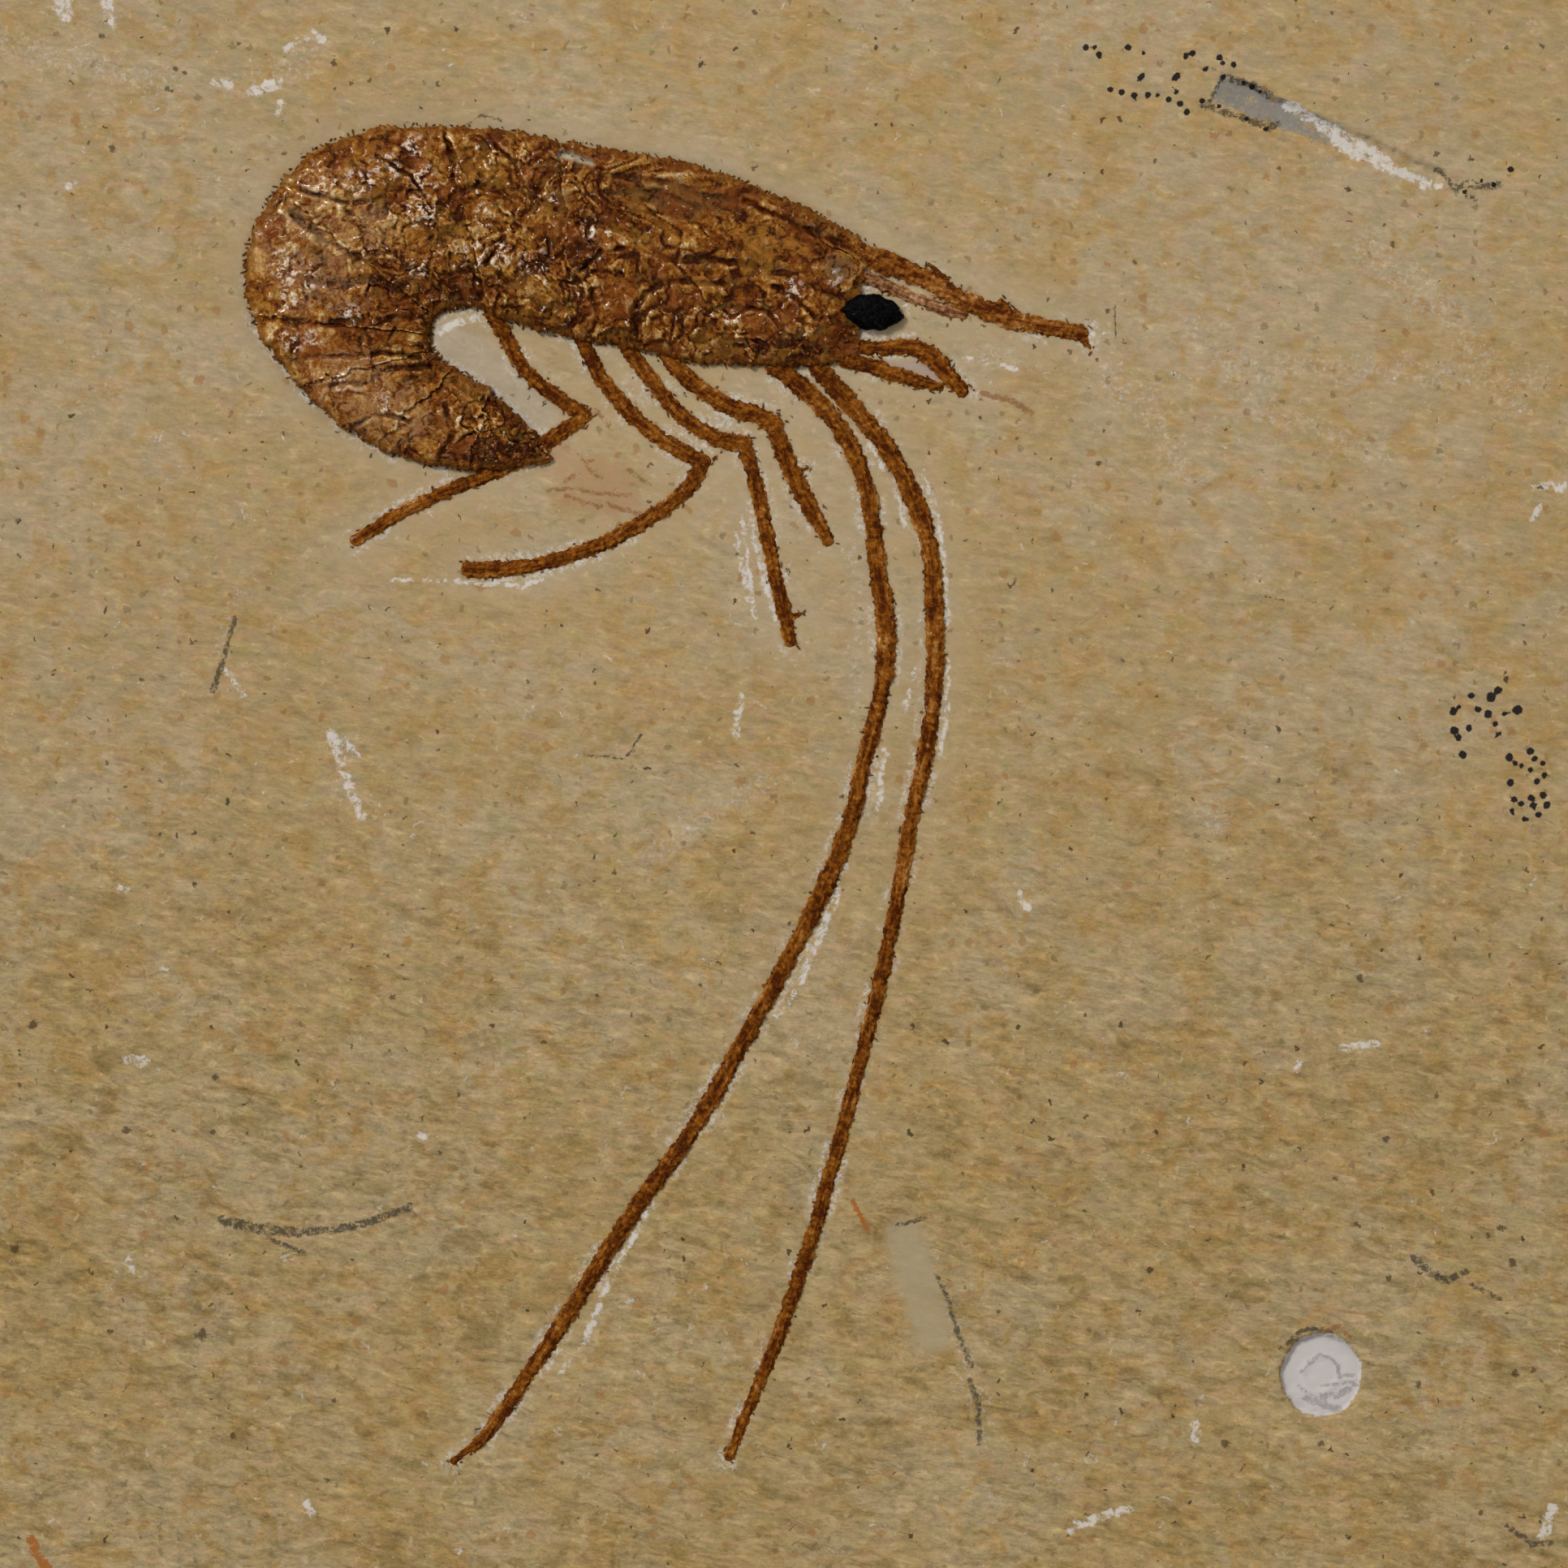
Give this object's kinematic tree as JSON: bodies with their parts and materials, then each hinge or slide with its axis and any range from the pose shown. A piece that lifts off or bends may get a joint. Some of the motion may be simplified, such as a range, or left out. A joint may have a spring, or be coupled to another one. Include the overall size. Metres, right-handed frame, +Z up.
{
  "type": "fossil shrimp on a limestone slab",
  "caption": "Fossil shrimp lying on its side in a broken slab of tan limestone, with curled tail, legs, long trailing antennae and a dark eye. It lies flat on a shelf or table.",
  "frame": {"origin": "middle of the slab's underside, at the middle of its width and depth", "axes": "+Z up out of the slab's fossil side, +X along its longer side towards the shrimp's head, +Y towards the shrimp's back"},
  "size_m": [0.138, 0.126, 0.0151],
  "materials": {
    "limestone": "matt, fine-grained, mottled tan and ochre",
    "fossil_shell": "crumpled brown shell with a resinous gloss",
    "fossil_eye": "blue-black, half gloss, finely cracked"
  },
  "bodies": {
    "root": {"limestone_slab": "limestone", "fossil_shrimp": "fossil_shell", "eye": "fossil_eye"}
  },
  "joints": []
}
